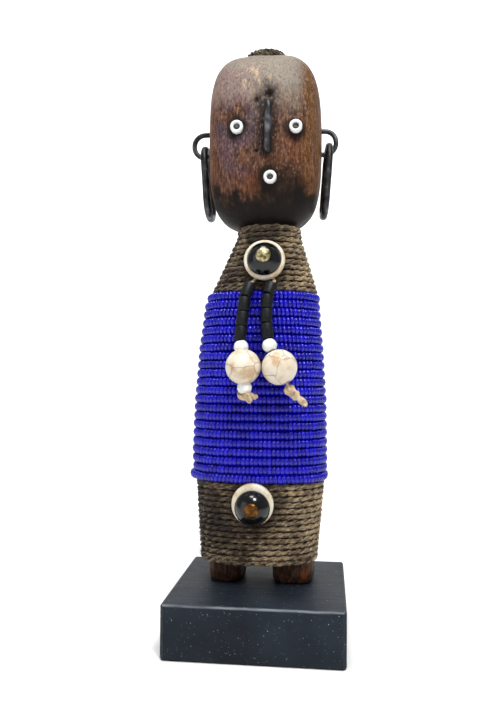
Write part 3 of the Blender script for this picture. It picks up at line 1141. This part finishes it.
# %% [markdown]
# ## Painted block and steel
# The block is softwood under black chalky paint with a blue cast. Paint flicks and dust show as fine pale
# specks, and its upper front edge is rubbed pale. Screws and nails are plain grey steel.

# %% Paint the block and finish the steel
chalk_paint, tree, place = start_finish("chalky_blue_black_paint")
broad = add(tree, NOISE, {"Vector": place, "Scale": every(22), "Detail": 4.0}).outputs["Fac"]
tone = add(tree, RAMP, {"Fac": broad},
           stops=[(0.35, "#131921"), (0.52, "#1a212a"), (0.70, "#232b35")]).outputs["Color"]
axes = add(tree, SPLIT, {"Vector": place}).outputs
brushed = add(tree, SCALED, {"Vector": place, "Scale": (0.12, 1.0, 1.0)}).outputs[0]
marks = add(tree, NOISE, {"Vector": brushed, "Scale": every(1.4), "Detail": 5.0}).outputs["Fac"]
# specks: the size of their cells in mm, their own share of a cell, and how strong they are
for size, limit, strength in ((1.3, 0.080, 0.8), (2.8, 0.050, 0.9), (0.8, 0.09, 0.5)):
    cell = add(tree, CELLS, {"Vector": place, "Scale": every(size)})
    chance = add(tree, SPLIT, {"Vector": cell.outputs["Color"]}).outputs[0]
    few = add(tree, MATH, {0: chance, 1: 0.5}, operation="GREATER_THAN").outputs[0]
    dot = add(tree, RANGE, {"Value": cell.outputs["Distance"], "From Min": limit * 1.5, "From Max": limit,
                            "To Max": strength}).outputs[0]
    dot = add(tree, MATH, {0: dot, 1: few}, operation="MULTIPLY").outputs[0]
    tone = add(tree, MIX, {0: dot, 6: tone, 7: hue("#8d959d")}, data_type="RGBA").outputs[2]
# the upper front edge: how close a point is to the top and to the front at once
WORN_FROM, WORN_TO = 0.9, 0.25
block_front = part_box("plinth")[0].y / MM
high = add(tree, RANGE, {"Value": axes["Z"], "From Min": (block_top - WORN_FROM) * MM,
                         "From Max": (block_top - WORN_TO) * MM})
front = add(tree, RANGE, {"Value": axes["Y"], "From Min": (block_front + WORN_FROM) * MM,
                          "From Max": (block_front + WORN_TO) * MM})
edge = add(tree, MATH, {0: high.outputs[0], 1: front.outputs[0]}, operation="MULTIPLY").outputs[0]
torn = add(tree, RANGE, {"Value": marks, "From Min": 0.40, "From Max": 0.62, "To Min": 0.10,
                         "To Max": 0.9}).outputs[0]
edge = add(tree, MATH, {0: edge, 1: torn}, operation="MULTIPLY").outputs[0]
tone = add(tree, MIX, {0: edge, 6: tone, 7: hue("#8b9299")}, data_type="RGBA").outputs[2]
relief = add(tree, BUMP, {"Height": marks, "Strength": 0.3, "Distance": 0.12 * MM}).outputs["Normal"]
gloss = add(tree, RANGE, {"Value": marks, "To Min": 0.46, "To Max": 0.70}).outputs[0]
end_finish(tree, {"Base Color": tone, "Roughness": gloss, "Normal": relief, "Specular IOR Level": 0.18})

grey_steel, tree, place = start_finish("plain_grey_steel")
rust = add(tree, NOISE, {"Vector": place, "Scale": every(0.9), "Detail": 4.0}).outputs["Fac"]
tone = add(tree, RAMP, {"Fac": rust},
           stops=[(0.35, "#3f3a37"), (0.60, "#77787b")]).outputs["Color"]
gloss = add(tree, RANGE, {"Value": rust, "To Min": 0.30, "To Max": 0.55}).outputs[0]
end_finish(tree, {"Base Color": tone, "Metallic": 0.9, "Roughness": gloss})
for node, finish in (("plinth", chalk_paint), ("plinth_screws", grey_steel), ("face_nails", grey_steel),
                     ("strand_anchor", waxed_cotton)):
    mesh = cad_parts[node].data
    mesh.materials.clear()
    mesh.materials.append(finish)
print("finished the carried-over nodes")

# %% [markdown]
# ## Tie each piece to its body
# Every piece rides on the CAD body it belongs to and stands for the CAD nodes it replaces. The cords are
# declared with their real length, and each bends between its two bodies.

# %% Tie the pieces
def tie(piece, body, slot_name, *nodes):
    """Rides a piece on a body, names its finish's slot and hides the nodes that it stands for."""
    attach(piece, body)
    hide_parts(*nodes)


tie(figure, "root", "carved_wood", "carved_figure")
tie(bun, "root", "crown_twine", "top_knot")
tie(bun_core, "root", "crown_twine", "top_knot")
for node, piece in bindings.items():
    tie(piece, "root", "twine", node)
for k, piece in rows.items():
    tie(piece, "root", "blue_glass", f"bead_row_{k:02d}")
for node, piece in face_beads.items():
    tie(piece, "root", "white_glass", node)
for node, piece in wires.items():
    body = node.replace("earring", "hoop") if "earring" in node else "root"
    tie(piece, body, "forged_iron", node)
for node, piece in buttons.items():
    slots = {"ring": "bone", "dome": "black_horn", "tack": "brass"}
    tie(piece, "root", slots[node.split("_")[1]], node)
for node, piece in strand_pieces.items():
    kind = node.split("_", 1)[1]
    slots = {"tubes": "black_tube", "big_bead": "veined_stone", "knot": "waxed_cord"}
    tie(piece, node.split("_")[0] + "_strand", slots.get(kind, "white_glass"), node)
for side, cord in cords.items():
    route = routes[side]
    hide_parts(f"{side}_top_cord", f"{side}_cord")
    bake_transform(cord)

# %% [markdown]
# ## Floor and light
# A plain pale sheet runs along the floor and curves up behind, so that no horizon shows. A lamp stands high
# in front on the right, a broad faint one fills from the left, a third shines from almost overhead, and a
# fourth, behind the doll, lights the sheet alone.

# %% Set the floor and the lights
SWEEP_HALF, SWEEP_BACK, SWEEP_BEND, SWEEP_DROP = 3.0, 0.9, 0.5, 0.0002
outline = [(-SWEEP_HALF, 0.0)] + [(SWEEP_BACK + SWEEP_BEND * math.sin(math.radians(a)),
                            SWEEP_BEND * (1 - math.cos(math.radians(a)))) for a in range(0, 91, 6)]
outline.append((SWEEP_BACK + SWEEP_BEND, SWEEP_HALF))
edges = [(side * SWEEP_HALF, y, z - SWEEP_DROP) for y, z in outline for side in (-1, 1)]
strips = [(2 * i, 2 * i + 1, 2 * i + 3, 2 * i + 2) for i in range(len(outline) - 1)]
floor = mesh_object("floor", edges, strips)
pale, tree, place = start_finish("pale_studio_floor")
end_finish(tree, {"Base Color": hue("#f6f6f6"), "Roughness": 0.9})
floor.data.materials.append(pale)
world = bpy.data.worlds.new("studio")
bpy.context.scene.world = world
world.use_nodes = True
world.node_tree.nodes["Background"].inputs["Color"].default_value = hue("#ffffff")
world.node_tree.nodes["Background"].inputs["Strength"].default_value = 0.27
DOLL, SHEET = (0.0, 0.0, 0.11), (0.0, 1.25, 1.05)
# each lamp: where it stands, what it points at, its size in metres and its power in watts
LAMPS = [("key", (0.17, -0.38, 0.70), DOLL, 0.13, 3.9), ("fill", (-0.60, -0.45, 0.25), DOLL, 0.50, 0.8),
         ("top", (-0.06, -0.14, 0.78), DOLL, 0.20, 2.4), ("backdrop", (0.0, 0.25, 1.3), SHEET, 1.2, 30.0)]
for name, spot, target, size, power in LAMPS:
    lamp = bpy.data.lights.new(name, "AREA")
    lamp.size, lamp.energy = size, power
    lit = bpy.data.objects.new(name, lamp)
    lit.matrix_world = aim(Vector(spot), Vector(spot) - Vector(target))
    bpy.context.scene.collection.objects.link(lit)
bpy.context.scene.view_settings.view_transform = "Standard"
print("lamps:", [name for name, *rest in LAMPS])
